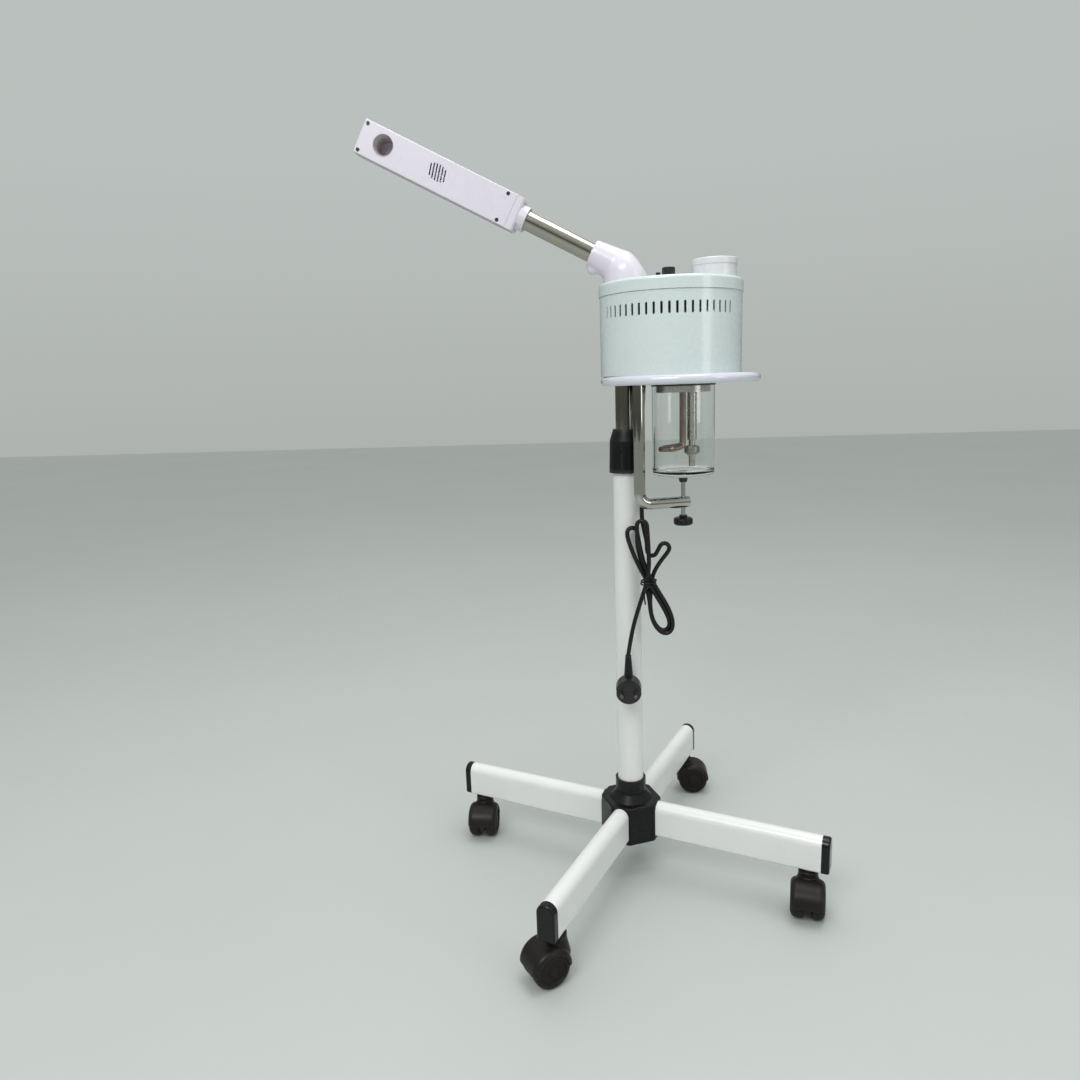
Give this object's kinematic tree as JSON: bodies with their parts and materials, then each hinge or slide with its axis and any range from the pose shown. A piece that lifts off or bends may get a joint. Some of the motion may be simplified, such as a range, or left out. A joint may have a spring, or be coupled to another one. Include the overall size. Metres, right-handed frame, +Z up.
{
  "type": "facial steamer",
  "caption": "Facial steamer on a rolling stand, with a telescopic column, a clamped glass water jar and a swivelling steam arm.",
  "frame": {"origin": "the point on the floor below the column's axis", "axes": "+Z up along the column; -X is the way the steam arm points at rest; -Y is the side that the vents and the nozzle face"},
  "size_m": [0.6285, 0.5621, 1.0829],
  "materials": {
    "hub_black": "moulded nylon, fine texture",
    "cap_black": "gloss",
    "bush_plastic": "natural acetal",
    "plain_steel": "bright zinc",
    "leg_white": "white powder coat",
    "column_white": "white powder coat",
    "collar_black": "satin moulded",
    "chrome_tube": "bright chrome",
    "chrome_bar": "bright chrome",
    "plate_white": "gloss, cool white",
    "housing_paint": "gloss enamel, pale green-white",
    "caster_black": "satin moulded nylon",
    "wheel_black": "satin moulded nylon",
    "dark_screws": "black oxide",
    "panel_plastic": "satin",
    "rocker_black": "gloss",
    "board_green": "solder mask",
    "hose_silicone": "translucent silicone",
    "stainless": "drawn stainless",
    "gasket_rubber": "white silicone",
    "jar_glass": "clear",
    "heater_sheath": "heat-tinted copper sheath",
    "float_steel": "drawn stainless",
    "pad_rubber": "moulded",
    "knob_black": "satin moulded",
    "arm_plastic": "gloss, faint lilac white",
    "nozzle_plastic": "gloss",
    "lamp_glass": "quartz",
    "cup_plastic": "satin",
    "cap_white": "gloss",
    "cord_black": "satin jacket",
    "plug_black": "satin moulded",
    "pin_nickel": "nickel plate"
  },
  "bodies": {
    "stand": {"base_hub": "hub_black", "leg_end_caps": "cap_black", "caster_sockets": "bush_plastic", "caster_stems": "plain_steel", "column_tube": "column_white", "column_bush": "bush_plastic", "leg_tube_1": "leg_white", "leg_tube_2": "leg_white", "leg_tube_3": "leg_white", "leg_tube_4": "leg_white"},
    "collar": {"lock_collar": "collar_black"},
    "mast": {"mast_tube": "chrome_tube"},
    "head": {"mast_socket": "plain_steel", "head_base_plate": "plate_white", "housing_shell": "housing_paint", "housing_lid": "housing_paint", "lid_screws": "dark_screws", "control_panel": "panel_plastic", "circuit_board": "board_green", "steam_hose": "hose_silicone", "boiler_flange": "stainless", "jar_gasket": "gasket_rubber", "glass_jar": "jar_glass", "heating_element": "heater_sheath", "level_probe": "stainless", "herb_cup": "cup_plastic", "cord_gland": "cord_black", "cord_drop": "cord_black", "cord_hank": "cord_black", "cord_tail": "cord_black", "plug": "plug_black", "plug_pins": "pin_nickel"},
    "float": {"level_float": "float_steel"},
    "bracket": {"clamp_bracket": "chrome_bar"},
    "pad": {"clamp_pad": "pad_rubber"},
    "clamp": {"clamp_screw": "chrome_bar", "clamp_knob": "knob_black"},
    "elbow": {"steam_elbow": "arm_plastic"},
    "arm": {"arm_tube": "chrome_tube", "arm_back_shell": "arm_plastic", "arm_face_plate": "arm_plastic", "arm_screws": "dark_screws", "nozzle_ring": "nozzle_plastic", "ozone_lamp": "lamp_glass"},
    "valve": {"relief_valve_knob": "knob_black"},
    "cap": {"filler_cap": "cap_white"},
    "power_button": {"power_rocker": "rocker_black"},
    "ozone_button": {"ozone_rocker": "rocker_black"},
    "caster_1": {"caster_housing_1": "caster_black"},
    "wheels_1": {"caster_wheels_1": "wheel_black", "caster_axle_1": "plain_steel"},
    "caster_2": {"caster_housing_2": "caster_black"},
    "wheels_2": {"caster_wheels_2": "wheel_black", "caster_axle_2": "plain_steel"},
    "caster_3": {"caster_housing_3": "caster_black"},
    "wheels_3": {"caster_wheels_3": "wheel_black", "caster_axle_3": "plain_steel"},
    "caster_4": {"caster_housing_4": "caster_black"},
    "wheels_4": {"caster_wheels_4": "wheel_black", "caster_axle_4": "plain_steel"}
  },
  "joints": [
    {"name": "column_height", "type": "slide", "parent": "stand", "child": "mast", "axis": [0, 0, 1], "range_m": [-0.05, 0.3]},
    {"name": "head_swivel", "type": "hinge", "parent": "mast", "child": "head", "pos_m": [0, 0, 0.729], "axis": [0, 0, 1], "range_deg": [-170, 170]},
    {"name": "collar_twist", "type": "hinge", "parent": "stand", "child": "collar", "pos_m": [0, 0, 0.639], "axis": [0, 0, 1], "range_deg": [0, 120]},
    {"name": "elbow_swivel", "type": "hinge", "parent": "head", "child": "elbow", "pos_m": [0.0036, 0, 0.859], "axis": [0, 0, 1], "range_deg": [-170, 170]},
    {"name": "arm_roll", "type": "hinge", "parent": "elbow", "child": "arm", "pos_m": [0.0036, 0, 0.8787], "axis": [-0.8829, 0, 0.4695], "range_deg": [-120, 120]},
    {"name": "valve_turn", "type": "hinge", "parent": "head", "child": "valve", "pos_m": [0.058, -0.028, 0.869], "axis": [0, 0, 1], "range_deg": [0, 180]},
    {"name": "cap_lift", "type": "slide", "parent": "head", "child": "cap", "axis": [0, 0, 1], "range_m": [0, 0.02]},
    {"name": "bracket_swing", "type": "hinge", "parent": "head", "child": "bracket", "pos_m": [0.0175, -0.034, 0.689], "axis": [0, 0, 1], "range_deg": [-100, 0]},
    {"name": "pad_lift", "type": "slide", "parent": "bracket", "child": "pad", "axis": [0, 0, 1], "range_m": [-0.015, 0]},
    {"name": "screw_turn", "type": "hinge", "parent": "pad", "child": "clamp", "pos_m": [0.0778, -0.0137, 0.569], "axis": [0, 0, 1], "range_deg": [-5401, 1]},
    {"name": "float_rise", "type": "slide", "parent": "head", "child": "float", "axis": [0, 0, 1], "range_m": [0, 0.0075]},
    {"name": "power_switch", "type": "hinge", "parent": "head", "child": "power_button", "pos_m": [0.044, 0.0827, 0.781], "axis": [1, 0, 0], "range_deg": [-14, 0]},
    {"name": "ozone_switch", "type": "hinge", "parent": "head", "child": "ozone_button", "pos_m": [0.078, 0.0827, 0.781], "axis": [1, 0, 0], "range_deg": [-14, 0]},
    {"name": "caster_swivel_1", "type": "hinge", "parent": "stand", "child": "caster_1", "pos_m": [0.24394, -0.0956, 0.06], "axis": [0, 0, 1], "continuous": true},
    {"name": "wheel_roll_1", "type": "hinge", "parent": "caster_1", "child": "wheels_1", "pos_m": [0.24061, -0.11125, 0.025], "axis": [0.9781, -0.2079, 0], "continuous": true},
    {"name": "caster_swivel_2", "type": "hinge", "parent": "stand", "child": "caster_2", "pos_m": [0.0956, 0.24394, 0.06], "axis": [0, 0, 1], "continuous": true},
    {"name": "wheel_roll_2", "type": "hinge", "parent": "caster_2", "child": "wheels_2", "pos_m": [0.1116, 0.24394, 0.025], "axis": [0, 1, 0], "continuous": true},
    {"name": "caster_swivel_3", "type": "hinge", "parent": "stand", "child": "caster_3", "pos_m": [-0.24394, 0.0956, 0.06], "axis": [0, 0, 1], "continuous": true},
    {"name": "wheel_roll_3", "type": "hinge", "parent": "caster_3", "child": "wheels_3", "pos_m": [-0.24394, 0.0796, 0.025], "axis": [1, 0, 0], "continuous": true},
    {"name": "caster_swivel_4", "type": "hinge", "parent": "stand", "child": "caster_4", "pos_m": [-0.0956, -0.24394, 0.06], "axis": [0, 0, 1], "continuous": true},
    {"name": "wheel_roll_4", "type": "hinge", "parent": "caster_4", "child": "wheels_4", "pos_m": [-0.1087, -0.25311, 0.025], "axis": [0.5736, -0.8192, 0], "continuous": true}
  ],
  "couplings": [
    {"joint": "screw_turn", "follows": "pad_lift", "rad_per_m": 6283.2}
  ]
}
